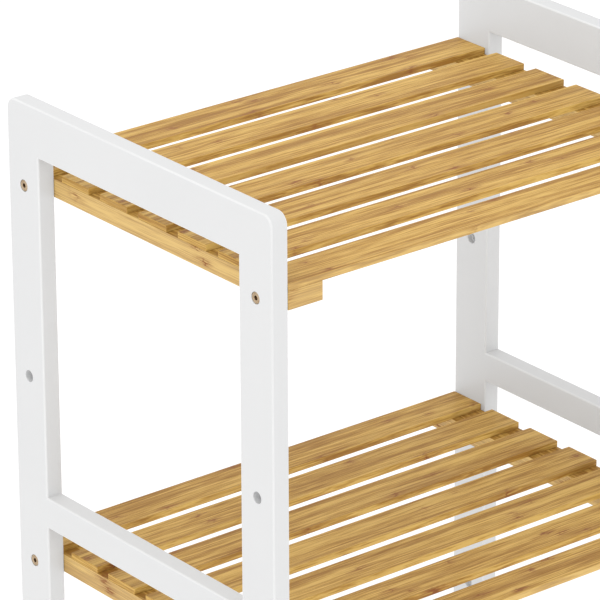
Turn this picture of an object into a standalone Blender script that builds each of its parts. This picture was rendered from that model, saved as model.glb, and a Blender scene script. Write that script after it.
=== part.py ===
"""Small two-tier entryway bench: painted ladder side frames carrying bamboo slats, bolted together.

Millimetre-true model in metres, +Z up. The origin is on the floor under the middle of the bench.
+X runs along the slats from the left frame to the right frame, and -Y is the front.
Each side frame is stiles and rails with dowelled joints. Each tier is seven slats glued on two
bearers, and each bearer is bolted to its two legs with socket-head bolts in threaded inserts.
The legs have evenly spaced rows of holes, so that the shelf can be bolted on at another height.
"""

import math

import bmesh
import bpy
from mathutils import Matrix, Vector

# ---------------------------------------------------------------- overall sizes
OVERALL_LENGTH = 0.466
OVERALL_DEPTH = 0.325
SEAT_HEIGHT = 0.525
FRAME_ABOVE_SEAT = 0.055
LOWEST_HOLE_HEIGHT = 0.036  # the lowest row of bolt holes in the legs, from the floor
HOLE_ROWS = 4  # the seat is bolted at the top row
SHELF_ROW = 1  # counted up from the lowest row, which is row 0

# ---------------------------------------------------------------- side frames
FRAME_THICKNESS = 0.015
LEG_WIDTH = 0.039
TOP_RAIL_HEIGHT = 0.0405
LOWER_RAIL_HEIGHT = 0.026
LOWER_RAIL_ABOVE_SHELF = 0.022
TOP_CORNER_RADIUS = 0.010
TOP_CORNER_SEGMENTS = 6
FRAME_EASING = 0.0015
FRAME_EASING_SEGMENTS = 2

# ---------------------------------------------------------------- slats and bearers
SLAT_COUNT = 7
SLAT_WIDTH = 0.0343
SLAT_THICKNESS = 0.0054
SLAT_EASING = 0.0008
BEARER_WIDTH = 0.0314
BEARER_HEIGHT = 0.0148
BEARER_EASING = 0.0008

# ---------------------------------------------------------------- bolts, inserts and dowels
BOLT_HEAD_RADIUS = 0.0045
BOLT_HEAD_HEIGHT = 0.006
BOLT_HEAD_CHAMFER = 0.0004
BOLT_HEAD_RECESS = 0.0003
BOLT_SHANK_RADIUS = 0.003
BOLT_TIP_CHAMFER = 0.001
BOLT_REACH = 0.0125  # how far a bolt runs on past its leg
SOCKET_ACROSS_FLATS = 0.004
SOCKET_DEPTH = 0.003
INSERT_RADIUS = 0.0045
INSERT_LENGTH = 0.019
INSERT_PROUD = 0.004  # what stands out of the bearer and locates in the leg
INSERT_GROOVE_DEPTH = 0.0004
INSERT_GROOVES = 3
DOWEL_RADIUS = 0.003
DOWEL_LENGTH = 0.030
DOWEL_CHAMFER = 0.0006
TOP_RAIL_DOWEL_SPACING = 0.020
LOWER_RAIL_DOWEL_SPACING = 0.012

# ---------------------------------------------------------------- clearances and facets
JOINT_GAP = 0.0003  # between two pieces that touch
DOWEL_END_CLEARANCE = 0.0005
INSERT_END_CLEARANCE = 0.001
CUT_OVERRUN = 0.001  # how far a cutter starts outside the face it enters
BOLT_SEGMENTS = 18
HOLE_SEGMENTS = 18
DOWEL_SEGMENTS = 12

# ---------------------------------------------------------------- places worked out from the sizes
HALF_LENGTH = OVERALL_LENGTH / 2
HALF_DEPTH = OVERALL_DEPTH / 2
OVERALL_HEIGHT = SEAT_HEIGHT + FRAME_ABOVE_SEAT
WINDOW_HALF_DEPTH = HALF_DEPTH - LEG_WIDTH
BOLT_Y = HALF_DEPTH - LEG_WIDTH / 2
TOP_RAIL_BOTTOM = OVERALL_HEIGHT - TOP_RAIL_HEIGHT
TIER_HALF_LENGTH = HALF_LENGTH - FRAME_THICKNESS - JOINT_GAP
SLAT_PITCH = (OVERALL_DEPTH - SLAT_WIDTH) / (SLAT_COUNT - 1)
BEARER_DROP = SLAT_THICKNESS + JOINT_GAP + BEARER_HEIGHT / 2
HOLE_ROW_SPACING = (SEAT_HEIGHT - BEARER_DROP - LOWEST_HOLE_HEIGHT) / (HOLE_ROWS - 1)
HOLE_HEIGHTS = [LOWEST_HOLE_HEIGHT + row * HOLE_ROW_SPACING for row in range(HOLE_ROWS)]
SHELF_HEIGHT = HOLE_HEIGHTS[SHELF_ROW] + BEARER_DROP
LOWER_RAIL_BOTTOM = SHELF_HEIGHT + LOWER_RAIL_ABOVE_SHELF
LOWER_RAIL_TOP = LOWER_RAIL_BOTTOM + LOWER_RAIL_HEIGHT
COUNTERBORE_RADIUS = BOLT_HEAD_RADIUS + JOINT_GAP
COUNTERBORE_DEPTH = BOLT_HEAD_RECESS + BOLT_HEAD_HEIGHT + JOINT_GAP
SHANK_HOLE_RADIUS = BOLT_SHANK_RADIUS + JOINT_GAP
INSERT_HOLE_RADIUS = INSERT_RADIUS + JOINT_GAP
INSERT_HOLE_DEPTH = INSERT_LENGTH - INSERT_PROUD + INSERT_END_CLEARANCE
DOWEL_HOLE_RADIUS = DOWEL_RADIUS + JOINT_GAP
DOWEL_HOLE_DEPTH = DOWEL_LENGTH / 2 + DOWEL_END_CLEARANCE

SIDES = {"left": -1, "right": 1}
ENDS = {"front": -1, "rear": 1}
TIERS = {"seat": SEAT_HEIGHT, "shelf": SHELF_HEIGHT}
RAILS = {
    "top": (TOP_RAIL_BOTTOM, OVERALL_HEIGHT, TOP_RAIL_DOWEL_SPACING),
    "lower": (LOWER_RAIL_BOTTOM, LOWER_RAIL_TOP, LOWER_RAIL_DOWEL_SPACING),
}


def clear_scene():
    """Remove every object that the file opened with."""
    for item in list(bpy.data.objects):
        bpy.data.objects.remove(item, do_unlink=True)


def make_material(name, colour, roughness, metallic=0.0):
    """Return a Principled material with one colour, roughness and metallic value."""
    material = bpy.data.materials.new(name)
    material.use_nodes = True
    shader = material.node_tree.nodes["Principled BSDF"]
    shader.inputs["Base Color"].default_value = (*colour, 1.0)
    shader.inputs["Roughness"].default_value = roughness
    shader.inputs["Metallic"].default_value = metallic
    material.diffuse_color = (*colour, 1.0)
    return material


def to_mesh(bm, name, material=None, smooth=False):
    """Close a bmesh into a mesh datablock with outward faces."""
    bmesh.ops.recalc_face_normals(bm, faces=bm.faces)
    mesh = bpy.data.meshes.new(name)
    bm.to_mesh(mesh)
    bm.free()
    if material:
        mesh.materials.append(material)
    if smooth:
        mesh.shade_smooth()
        mesh.set_sharp_from_angle(angle=math.radians(35))
    return mesh


def add_object(name, mesh, parent, location=(0, 0, 0), turn_z=0.0):
    """Link an object with this mesh at its place under the bench's empty."""
    item = bpy.data.objects.new(name, mesh)
    bpy.context.scene.collection.objects.link(item)
    item.parent = parent
    item.location = location
    item.rotation_euler = (0, 0, turn_z)
    return item


# ---------------------------------------------------------------- shapes
def eased_box(size, easing, segments=1):
    """Return a bmesh box centred on its origin with every edge eased."""
    bm = bmesh.new()
    bmesh.ops.create_cube(bm, size=1.0)
    bmesh.ops.scale(bm, vec=size, verts=bm.verts)
    bmesh.ops.bevel(bm, geom=bm.edges[:], offset=easing, segments=segments, profile=0.5, affect="EDGES")
    return bm


def circle_ring(x, radius, segments):
    """Return the points of a circle round the X axis."""
    turns = [2 * math.pi * index / segments for index in range(segments)]
    return [Vector((x, radius * math.cos(turn), radius * math.sin(turn))) for turn in turns]


def hexagon_ring(x, across_flats, segments):
    """Return points on a hexagon round the X axis, at the same angles as a circle's points."""
    ring = []
    for point in circle_ring(x, across_flats / 2, segments):
        turn = math.atan2(point.z, point.y)
        from_flat = (turn % (math.pi / 3)) - math.pi / 6
        ring.append(Vector((x, point.y / math.cos(from_flat), point.z / math.cos(from_flat))))
    return ring


def skin_rings(bm, rings, cap=True):
    """Join rings of points into a tube, closed by end caps or, without them, back on itself."""
    loops = [[bm.verts.new(point) for point in ring] for ring in rings]
    pairs = list(zip(loops, loops[1:]))
    if not cap:
        pairs.append((loops[-1], loops[0]))
    for first, second in pairs:
        count = len(first)
        for index in range(count):
            after = (index + 1) % count
            bm.faces.new((first[index], first[after], second[after], second[index]))
    if cap:
        bm.faces.new(loops[0])
        bm.faces.new(loops[-1])


def frame_blank():
    """Return a bmesh of one whole side frame, centred across its thickness, with eased edges."""
    bm = bmesh.new()
    across = [-HALF_DEPTH, -WINDOW_HALF_DEPTH, WINDOW_HALF_DEPTH, HALF_DEPTH]
    up = [0.0, LOWER_RAIL_BOTTOM, LOWER_RAIL_TOP, TOP_RAIL_BOTTOM, OVERALL_HEIGHT]
    rail_rows = (1, 3)
    half = FRAME_THICKNESS / 2
    grid = [[bm.verts.new((-half, y, z)) for z in up] for y in across]
    for column in range(len(across) - 1):
        for row in range(len(up) - 1):
            if column == 1 and row not in rail_rows:
                continue
            bm.faces.new((grid[column][row], grid[column + 1][row],
                          grid[column + 1][row + 1], grid[column][row + 1]))
    extruded = bmesh.ops.extrude_face_region(bm, geom=bm.faces[:])
    moved = [item for item in extruded["geom"] if isinstance(item, bmesh.types.BMVert)]
    bmesh.ops.translate(bm, vec=(FRAME_THICKNESS, 0, 0), verts=moved)
    bmesh.ops.recalc_face_normals(bm, faces=bm.faces)
    top_corners = [
        edge for edge in bm.edges
        if all(abs(vert.co.z - OVERALL_HEIGHT) < JOINT_GAP for vert in edge.verts)
        and all(abs(abs(vert.co.y) - HALF_DEPTH) < JOINT_GAP for vert in edge.verts)
    ]
    bmesh.ops.bevel(bm, geom=top_corners, offset=TOP_CORNER_RADIUS, segments=TOP_CORNER_SEGMENTS,
                    profile=0.5, affect="EDGES")
    rims = [
        edge for edge in bm.edges
        if abs(edge.verts[0].co.x - edge.verts[1].co.x) < JOINT_GAP
        and edge.calc_face_angle(0.0) > math.radians(60)
    ]
    bmesh.ops.bevel(bm, geom=rims, offset=FRAME_EASING, segments=FRAME_EASING_SEGMENTS,
                    profile=0.5, affect="EDGES")
    return bm


def keep_between(bm, axis, low, high):
    """Cut a bmesh off square at two planes across one axis, and close the cuts."""
    for limit, outward in ((low, -1), (high, 1)):
        normal = Vector((0, 0, 0))
        normal[axis] = outward
        place = Vector((0, 0, 0))
        place[axis] = limit
        bmesh.ops.bisect_plane(bm, geom=bm.verts[:] + bm.edges[:] + bm.faces[:], dist=1e-7,
                               plane_co=place, plane_no=normal, clear_outer=True)
        open_edges = [edge for edge in bm.edges if edge.is_boundary]
        if open_edges:
            bmesh.ops.holes_fill(bm, edges=open_edges, sides=0)


def frame_piece(y_range, z_range, material, name):
    """Return the mesh of the part of a side frame inside a range of Y and of Z."""
    bm = frame_blank()
    keep_between(bm, 1, *y_range)
    keep_between(bm, 2, *z_range)
    bmesh.ops.dissolve_limit(bm, angle_limit=math.radians(0.05), verts=bm.verts[:], edges=bm.edges[:])
    return to_mesh(bm, name, material)


# ---------------------------------------------------------------- cutters
def turned_cutter(bm, steps, origin, direction, segments):
    """Add a stepped round cutter: (distance, radius) pairs along a direction from a point."""
    tube = bmesh.new()
    skin_rings(tube, [circle_ring(distance, radius, segments) for distance, radius in steps])
    bmesh.ops.recalc_face_normals(tube, faces=tube.faces)
    turn = Vector((1, 0, 0)).rotation_difference(Vector(direction)).to_matrix().to_4x4()
    tube.transform(Matrix.Translation(origin) @ turn)
    scratch = bpy.data.meshes.new("cutter_scratch")
    tube.to_mesh(scratch)
    tube.free()
    bm.from_mesh(scratch)
    bpy.data.meshes.remove(scratch)


def cut_with(target, bm, parent):
    """Subtract a bmesh of cutters from an object, with the cutters kept as a hidden guide."""
    mesh = bpy.data.meshes.new(target.name + "_cutter")
    bm.to_mesh(mesh)
    bm.free()
    cutter = add_object(target.name + "_cutter", mesh, parent)
    cutter.hide_render = True
    cutter.display_type = "WIRE"
    modifier = target.modifiers.new("drilling", "BOOLEAN")
    modifier.operation = "DIFFERENCE"
    modifier.solver = "EXACT"
    modifier.object = cutter


def bolt_hole_steps():
    """Return the stepped through hole in a leg, measured from the leg's outer face inwards."""
    collar_floor = FRAME_THICKNESS - INSERT_PROUD
    return [
        (-CUT_OVERRUN, COUNTERBORE_RADIUS),
        (COUNTERBORE_DEPTH, COUNTERBORE_RADIUS),
        (COUNTERBORE_DEPTH, SHANK_HOLE_RADIUS),
        (collar_floor, SHANK_HOLE_RADIUS),
        (collar_floor, INSERT_HOLE_RADIUS),
        (FRAME_THICKNESS + CUT_OVERRUN, INSERT_HOLE_RADIUS),
    ]


def dowel_heights(bottom, top, spacing):
    """Return the heights of a rail's two dowels."""
    middle = (bottom + top) / 2
    return [middle - spacing / 2, middle + spacing / 2]


def drill_leg(leg, side, end, parent):
    """Cut a leg's bolt holes, one in each row, and its dowel holes."""
    bm = bmesh.new()
    for height in HOLE_HEIGHTS:
        turned_cutter(bm, bolt_hole_steps(), (side * HALF_LENGTH, end * BOLT_Y, height),
                      (-side, 0, 0), HOLE_SEGMENTS)
    blind = [(-CUT_OVERRUN, DOWEL_HOLE_RADIUS), (DOWEL_HOLE_DEPTH, DOWEL_HOLE_RADIUS)]
    frame_x = side * (HALF_LENGTH - FRAME_THICKNESS / 2)
    for rail in RAILS.values():
        for height in dowel_heights(*rail):
            turned_cutter(bm, blind, (frame_x, end * WINDOW_HALF_DEPTH, height), (0, end, 0), DOWEL_SEGMENTS)
    cut_with(leg, bm, parent)


def drill_rail(rail_object, rail, side, parent):
    """Cut the dowel holes in both ends of a rail."""
    bm = bmesh.new()
    blind = [(-CUT_OVERRUN, DOWEL_HOLE_RADIUS), (DOWEL_HOLE_DEPTH, DOWEL_HOLE_RADIUS)]
    frame_x = side * (HALF_LENGTH - FRAME_THICKNESS / 2)
    for end in ENDS.values():
        for height in dowel_heights(*rail):
            mouth = (frame_x, end * (WINDOW_HALF_DEPTH - JOINT_GAP), height)
            turned_cutter(bm, blind, mouth, (0, -end, 0), DOWEL_SEGMENTS)
    cut_with(rail_object, bm, parent)


def drill_bearer(bearer, side, tier_height, parent):
    """Cut the two insert holes in a bearer's outer side."""
    bm = bmesh.new()
    blind = [(-CUT_OVERRUN, INSERT_HOLE_RADIUS), (INSERT_HOLE_DEPTH, INSERT_HOLE_RADIUS)]
    for end in ENDS.values():
        mouth = (side * TIER_HALF_LENGTH, end * BOLT_Y, tier_height - BEARER_DROP)
        turned_cutter(bm, blind, mouth, (-side, 0, 0), HOLE_SEGMENTS)
    cut_with(bearer, bm, parent)


# ---------------------------------------------------------------- sub-assemblies
def build_side_frame(side_name, side, paint, wood, parent):
    """Build one side frame: two legs, two rails and the dowels between them."""
    frame_x = side * (HALF_LENGTH - FRAME_THICKNESS / 2)
    for end_name, end in ENDS.items():
        name = f"{side_name}_{end_name}_leg"
        limits = sorted((end * WINDOW_HALF_DEPTH, end * OVERALL_DEPTH))
        mesh = frame_piece(limits, (-CUT_OVERRUN, OVERALL_HEIGHT + CUT_OVERRUN), paint, name)
        drill_leg(add_object(name, mesh, parent, (frame_x, 0, 0)), side, end, parent)
    inner = WINDOW_HALF_DEPTH - JOINT_GAP
    for rail_name, rail in RAILS.items():
        name = f"{side_name}_{rail_name}_rail"
        bottom, top, _ = rail
        mesh = frame_piece((-inner, inner), (bottom - CUT_OVERRUN, top + CUT_OVERRUN), paint, name)
        drill_rail(add_object(name, mesh, parent, (frame_x, 0, 0)), rail, side, parent)
    build_dowels(side_name, frame_x, wood, parent)


def build_dowels(side_name, frame_x, wood, parent):
    """Build the dowels that join one side frame's rails to its legs."""
    half = DOWEL_LENGTH / 2
    rounded = DOWEL_RADIUS - DOWEL_CHAMFER
    profile = [(-half, rounded), (-half + DOWEL_CHAMFER, DOWEL_RADIUS),
               (half - DOWEL_CHAMFER, DOWEL_RADIUS), (half, rounded)]
    bm = bmesh.new()
    skin_rings(bm, [circle_ring(x, radius, DOWEL_SEGMENTS) for x, radius in profile])
    mesh = to_mesh(bm, f"{side_name}_dowel", wood, smooth=True)
    for rail_name, rail in RAILS.items():
        for end_name, end in ENDS.items():
            for number, height in enumerate(dowel_heights(*rail), start=1):
                name = f"{side_name}_{rail_name}_{end_name}_dowel_{number}"
                place = (frame_x, end * (WINDOW_HALF_DEPTH - JOINT_GAP / 2), height)
                add_object(name, mesh, parent, place, turn_z=math.pi / 2)


def build_tier(tier_name, height, bamboo, parent):
    """Build one tier: its slats and the two bearers under their ends."""
    slat_size = (2 * TIER_HALF_LENGTH, SLAT_WIDTH, SLAT_THICKNESS)
    slat_mesh = to_mesh(eased_box(slat_size, SLAT_EASING), f"{tier_name}_slat", bamboo)
    for number in range(1, SLAT_COUNT + 1):
        y = -HALF_DEPTH + SLAT_WIDTH / 2 + (number - 1) * SLAT_PITCH
        add_object(f"{tier_name}_slat_{number}", slat_mesh, parent, (0, y, height - SLAT_THICKNESS / 2))
    for side_name, side in SIDES.items():
        name = f"{tier_name}_{side_name}_bearer"
        mesh = to_mesh(eased_box((BEARER_WIDTH, OVERALL_DEPTH, BEARER_HEIGHT), BEARER_EASING), name, bamboo)
        place = (side * (TIER_HALF_LENGTH - BEARER_WIDTH / 2), 0, height - BEARER_DROP)
        drill_bearer(add_object(name, mesh, parent, place), side, height, parent)


def bolt_mesh(bronze):
    """Return a socket-head bolt along +X, with its head's top face at the origin."""
    shank_end = FRAME_THICKNESS - BOLT_HEAD_RECESS + BOLT_REACH
    rings = [
        hexagon_ring(SOCKET_DEPTH, SOCKET_ACROSS_FLATS, BOLT_SEGMENTS),
        hexagon_ring(0, SOCKET_ACROSS_FLATS, BOLT_SEGMENTS),
    ]
    turned = [
        (0, BOLT_HEAD_RADIUS - BOLT_HEAD_CHAMFER),
        (BOLT_HEAD_CHAMFER, BOLT_HEAD_RADIUS),
        (BOLT_HEAD_HEIGHT, BOLT_HEAD_RADIUS),
        (BOLT_HEAD_HEIGHT, BOLT_SHANK_RADIUS),
        (shank_end - BOLT_TIP_CHAMFER, BOLT_SHANK_RADIUS),
        (shank_end, BOLT_SHANK_RADIUS - BOLT_TIP_CHAMFER),
    ]
    rings += [circle_ring(x, radius, BOLT_SEGMENTS) for x, radius in turned]
    bm = bmesh.new()
    skin_rings(bm, rings)
    return to_mesh(bm, "bolt", bronze, smooth=True)


def insert_mesh(steel):
    """Return a sleeve insert along +X from its proud end, bored for the bolt, with grip grooves."""
    low = INSERT_RADIUS - INSERT_GROOVE_DEPTH
    pitch = (INSERT_LENGTH - INSERT_PROUD) / (INSERT_GROOVES + 1)
    outside = [(0, INSERT_RADIUS)]
    for number in range(1, INSERT_GROOVES + 1):
        x = INSERT_PROUD + number * pitch
        outside += [(x, INSERT_RADIUS), (x + INSERT_GROOVE_DEPTH, low)]
    outside.append((INSERT_LENGTH, low))
    bore = [(INSERT_LENGTH, SHANK_HOLE_RADIUS), (0, SHANK_HOLE_RADIUS)]
    bm = bmesh.new()
    rings = [circle_ring(x, radius, BOLT_SEGMENTS) for x, radius in outside + bore]
    skin_rings(bm, rings, cap=False)
    return to_mesh(bm, "insert", steel, smooth=True)


def build_fasteners(tier_name, height, bronze, steel, parent):
    """Build one tier's four bolts and the inserts that they run into."""
    bolt = bolt_mesh(bronze)
    insert = insert_mesh(steel)
    z = height - BEARER_DROP
    for side_name, side in SIDES.items():
        inward = 0.0 if side < 0 else math.pi
        for end_name, end in ENDS.items():
            stem = f"{tier_name}_{side_name}_{end_name}"
            head = (side * (HALF_LENGTH - BOLT_HEAD_RECESS), end * BOLT_Y, z)
            add_object(f"{stem}_bolt", bolt, parent, head, inward)
            proud = (side * (TIER_HALF_LENGTH + INSERT_PROUD), end * BOLT_Y, z)
            add_object(f"{stem}_insert", insert, parent, proud, inward)


def main():
    """Build the whole bench under one empty."""
    clear_scene()
    paint = make_material("white_paint", (0.83, 0.83, 0.82), 0.38)
    bamboo = make_material("bamboo", (0.66, 0.43, 0.17), 0.45)
    dowel_wood = make_material("beech_dowel", (0.62, 0.45, 0.28), 0.6)
    bronze = make_material("bronzed_steel", (0.46, 0.33, 0.19), 0.35, metallic=1.0)
    steel = make_material("zinc_steel", (0.55, 0.55, 0.53), 0.4, metallic=1.0)
    bench = bpy.data.objects.new("bench", None)
    bpy.context.scene.collection.objects.link(bench)
    for side_name, side in SIDES.items():
        build_side_frame(side_name, side, paint, dowel_wood, bench)
    for tier_name, height in TIERS.items():
        build_tier(tier_name, height, bamboo, bench)
        build_fasteners(tier_name, height, bronze, steel, bench)


main()
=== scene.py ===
"""Visual model of a small two-tier entryway bench: painted ladder side frames, bamboo slats, bolts.

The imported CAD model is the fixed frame. Every piece here stands for one of its nodes, takes its place
and size from that node, and rides on the one body of the bench. Metres, +Z up, -Y is the front.
"""

import logging
import math
from dataclasses import dataclass, field
from enum import Enum

import bmesh
import bpy
from mathutils import Euler, Matrix, Vector


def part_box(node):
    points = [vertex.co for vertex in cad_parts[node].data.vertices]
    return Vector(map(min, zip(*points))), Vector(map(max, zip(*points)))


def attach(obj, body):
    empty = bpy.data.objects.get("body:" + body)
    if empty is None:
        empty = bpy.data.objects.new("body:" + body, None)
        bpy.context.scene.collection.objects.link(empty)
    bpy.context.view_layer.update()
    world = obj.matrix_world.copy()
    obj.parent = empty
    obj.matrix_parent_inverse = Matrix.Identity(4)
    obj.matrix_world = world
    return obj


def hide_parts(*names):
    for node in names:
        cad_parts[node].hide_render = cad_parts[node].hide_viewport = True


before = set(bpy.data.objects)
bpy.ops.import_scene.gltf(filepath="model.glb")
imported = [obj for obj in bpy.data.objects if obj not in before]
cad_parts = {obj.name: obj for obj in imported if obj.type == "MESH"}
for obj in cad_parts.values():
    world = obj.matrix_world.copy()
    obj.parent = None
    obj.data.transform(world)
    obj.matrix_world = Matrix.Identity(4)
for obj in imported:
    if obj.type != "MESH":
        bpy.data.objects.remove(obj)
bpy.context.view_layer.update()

LOG = logging.getLogger("bench")
BODY = "root"
GRAIN_LAYER = "grain"
SIDE_LAYER = "side_grain"
ARRIS_LAYER = "arris"
MERGE_DISTANCE = 1e-6
OVERCUT = 0.001

Colour = Scales = tuple[float, float, float]
Socket = bpy.types.NodeSocket
Mesh = bpy.types.Mesh
Form = bmesh.types.BMesh


class Slot(Enum):
    """Material slots of the record."""

    PAINT = "white_paint"
    BAMBOO = "bamboo"
    BEECH = "beech_dowel"
    BRONZE = "bronzed_steel"
    ZINC = "zinc_steel"


class Place(Enum):
    """A part of the bench that node names have a word for."""

    def __str__(self) -> str:
        """Return the word."""
        return self.name.lower()


class Side(Place):
    """The two side frames, with the sign of X on which each stands."""

    LEFT = -1
    RIGHT = 1

    @property
    def inwards(self) -> Euler:
        """Return the turn that points +X to the middle of the bench."""
        return Euler((0, 0, 0 if self is Side.LEFT else math.pi))

    def outer_x(self, extent: "Extent") -> float:
        """Return the X of a box's face that looks away from the middle of the bench."""
        return extent.low.x if self is Side.LEFT else extent.high.x

    def inner_x(self, extent: "Extent") -> float:
        """Return the X of a box's face that looks to the middle of the bench."""
        return extent.high.x if self is Side.LEFT else extent.low.x


class End(Place):
    """Front and rear, with the sign of Y."""

    FRONT = -1
    REAR = 1


class Level(Place):
    """The two tiers of slats."""

    SEAT = 0
    SHELF = 1


class Fibre(Enum):
    """The axis that a piece's grain runs along, as the order of its along, across and depth axes."""

    ALONG_X = (0, 1, 2)
    ALONG_Y = (1, 2, 0)


@dataclass(frozen=True)
class Extent:
    """A box in space, from its lowest corner to its highest."""

    low: Vector
    high: Vector

    @classmethod
    def of(cls, node: str) -> "Extent":
        """Return the box of a CAD node."""
        low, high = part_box(node)
        return cls(Vector(low), Vector(high))

    @property
    def centre(self) -> Vector:
        """Return the middle of the box."""
        return (self.low + self.high) / 2

    @property
    def size(self) -> Vector:
        """Return the box's size along each axis."""
        return self.high - self.low


def put(name: str, data: bpy.types.ID) -> bpy.types.Object:
    """Return a new object with this data, linked to the scene."""
    item = bpy.data.objects.new(name, data)
    bpy.context.scene.collection.objects.link(item)
    return item


# ---------- shaders
class ShaderSheet:
    """A material's node tree, with short calls for the nodes that the finishes use."""

    def __init__(self, name: str) -> None:
        """Start a material whose only nodes are a Principled shader and the output.

        Args:
            name: the material's name.
        """
        self.material = bpy.data.materials.new(name)
        self.material.use_nodes = True
        self.nodes = self.material.node_tree.nodes
        self.links = self.material.node_tree.links
        self.shader = self.nodes["Principled BSDF"]

    def set(self, **values: float | Colour) -> None:
        """Set plain values on the shader's own sockets.

        Args:
            values: socket names with underscores for spaces, and their values.
        """
        for name, value in values.items():
            socket = self.shader.inputs[name.replace("_", " ")]
            socket.default_value = (*value, 1.0) if isinstance(value, tuple) else value

    def feed(self, target: Socket, value: object) -> None:
        """Link a socket to a target, or set the target to a plain value."""
        if isinstance(value, Socket):
            self.links.new(value, target)
        elif isinstance(value, tuple) and target.type == "RGBA":
            target.default_value = (*value, 1.0)
        else:
            target.default_value = value

    def layer(self, name: str, output: str = "Fac") -> Socket:
        """Return a mesh layer's value, or its vector."""
        node = self.nodes.new("ShaderNodeAttribute")
        node.attribute_name = name
        return node.outputs[output]

    def place(self) -> Socket:
        """Return the Object coordinates."""
        return self.nodes.new("ShaderNodeTexCoord").outputs["Object"]

    def math(self, operation: str, first: object, second: object = 0.0) -> Socket:
        """Return a Math node's result.

        Args:
            operation: the node's operation.
            first: a socket or a number.
            second: a socket or a number.

        Returns:
            The value socket.
        """
        node = self.nodes.new("ShaderNodeMath")
        node.operation = operation
        self.feed(node.inputs[0], first)
        self.feed(node.inputs[1], second)
        return node.outputs[0]

    def plus(self, first: object, second: object) -> Socket:
        """Return a sum."""
        return self.math("ADD", first, second)

    def minus(self, first: object, second: object) -> Socket:
        """Return a difference."""
        return self.math("SUBTRACT", first, second)

    def times(self, first: object, second: object) -> Socket:
        """Return a product."""
        return self.math("MULTIPLY", first, second)

    def split(self, vector: Socket) -> list[Socket]:
        """Return a vector's three parts."""
        node = self.nodes.new("ShaderNodeSeparateXYZ")
        self.feed(node.inputs[0], vector)
        return list(node.outputs)

    def join(self, *parts: object) -> Socket:
        """Return a vector of three parts."""
        node = self.nodes.new("ShaderNodeCombineXYZ")
        for target, part in zip(node.inputs, parts):
            self.feed(target, part)
        return node.outputs[0]

    def stretch(self, vector: Socket, scales: Scales) -> Socket:
        """Return a vector with each part multiplied by its own number."""
        node = self.nodes.new("ShaderNodeVectorMath")
        node.operation = "MULTIPLY"
        self.feed(node.inputs[0], vector)
        node.inputs[1].default_value = scales
        return node.outputs[0]

    def noise(self, vector: Socket, scale: float = 1.0, detail: float = 2.0,
              roughness: float = 0.5) -> Socket:
        """Return a Noise texture's value.

        Args:
            vector: where the texture is read.
            scale: how fine it is.
            detail: how many finer layers it has.
            roughness: how strong those layers are.

        Returns:
            The value socket, about 0.5 on average.
        """
        node = self.nodes.new("ShaderNodeTexNoise")
        self.feed(node.inputs["Vector"], vector)
        node.inputs["Scale"].default_value = scale
        node.inputs["Detail"].default_value = detail
        node.inputs["Roughness"].default_value = roughness
        return node.outputs["Fac"]

    def figure(self, vector: Socket, scales: Scales, detail: float = 2.0,
               roughness: float = 0.5) -> Socket:
        """Return a Noise texture that is stretched by a number along each axis."""
        return self.noise(self.stretch(vector, scales), 1.0, detail, roughness)

    def random(self, vector: Socket) -> list[Socket]:
        """Return three random numbers that are the same wherever the vector is."""
        node = self.nodes.new("ShaderNodeTexWhiteNoise")
        node.noise_dimensions = "3D"
        self.feed(node.inputs["Vector"], vector)
        return self.split(node.outputs["Color"])

    def remap(self, value: Socket, old: tuple[float, float],
              new: tuple[float, float] = (0.0, 1.0), smooth: bool = False) -> Socket:
        """Return a value moved from one range to another, and held inside it.

        Args:
            value: the value to move.
            old: the range that it comes from.
            new: the range that it goes to.
            smooth: whether it eases in and out at the range's ends.

        Returns:
            The value socket.
        """
        node = self.nodes.new("ShaderNodeMapRange")
        node.interpolation_type = "SMOOTHSTEP" if smooth else "LINEAR"
        self.feed(node.inputs["Value"], value)
        node.inputs["From Min"].default_value, node.inputs["From Max"].default_value = old
        node.inputs["To Min"].default_value, node.inputs["To Max"].default_value = new
        return node.outputs[0]

    def hump(self, distance: object, width: float) -> Socket:
        """Return a bell curve that is 1 where the distance is 0 and falls off over a width."""
        scaled = self.math("DIVIDE", distance, width)
        return self.math("EXPONENT", self.times(self.times(scaled, scaled), -1.0))

    def mix(self, amount: object, first: object, second: object) -> Socket:
        """Return a mix of two colours.

        Args:
            amount: how much of the second there is, from 0 to 1.
            first: a colour or a socket.
            second: a colour or a socket.

        Returns:
            The colour socket.
        """
        node = self.nodes.new("ShaderNodeMix")
        node.data_type = "RGBA"
        self.feed(node.inputs["Factor"], amount)
        self.feed(node.inputs[6], first)
        self.feed(node.inputs[7], second)
        return node.outputs[2]

    def dress(self, colour: Socket, roughness: Socket) -> None:
        """Drive the shader's colour and roughness."""
        self.feed(self.shader.inputs["Base Color"], colour)
        self.feed(self.shader.inputs["Roughness"], roughness)

    def bump(self, height: Socket, strength: float, distance: float) -> None:
        """Drive the shader's normal from a height.

        Args:
            height: the height, from 0 to 1.
            strength: how much of it shows.
            distance: how deep a height of 1 is, in metres.
        """
        node = self.nodes.new("ShaderNodeBump")
        node.inputs["Strength"].default_value = strength
        node.inputs["Distance"].default_value = distance
        self.links.new(height, node.inputs["Height"])
        self.links.new(node.outputs["Normal"], self.shader.inputs["Normal"])

    def sum(self, *terms: tuple[object, float]) -> Socket:
        """Return a weighted sum of sockets.

        Args:
            terms: pairs of a socket and its weight.

        Returns:
            The value socket.
        """
        total = 0.0
        for value, weight in terms:
            total = self.plus(self.times(value, weight), total)
        return total


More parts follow.
